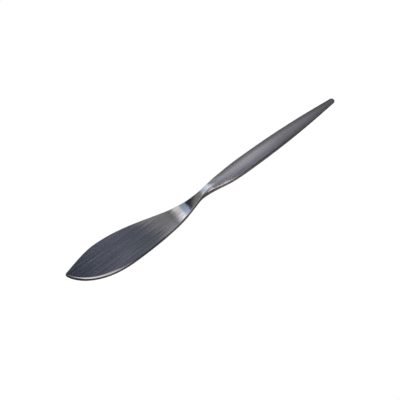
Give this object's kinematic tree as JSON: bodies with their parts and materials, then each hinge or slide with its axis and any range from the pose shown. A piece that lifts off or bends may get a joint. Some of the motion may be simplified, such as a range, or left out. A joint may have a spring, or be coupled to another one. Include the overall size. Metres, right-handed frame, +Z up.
{
  "type": "butter knife",
  "caption": "Satin steel butter knife with a leaf-shaped spreading blade, a pinched neck and a slim hollow handle that tapers to a round end.",
  "frame": {"origin": "on the table, under the middle of the knife's box", "axes": "+X along the knife from the tip of the blade to the end of the handle, +Y towards the back of the blade, +Z up from the table"},
  "size_m": [0.175, 0.0212, 0.0054],
  "materials": {
    "blade_steel": "satin, brushed along the blade, polished at the neck",
    "handle_steel": "satin, brushed along the handle",
    "filler_cement": "matt, hidden inside the handle"
  },
  "bodies": {
    "root": {"blade": "blade_steel", "handle_shell_upper": "handle_steel", "handle_shell_lower": "handle_steel", "handle_filler": "filler_cement"}
  },
  "joints": []
}
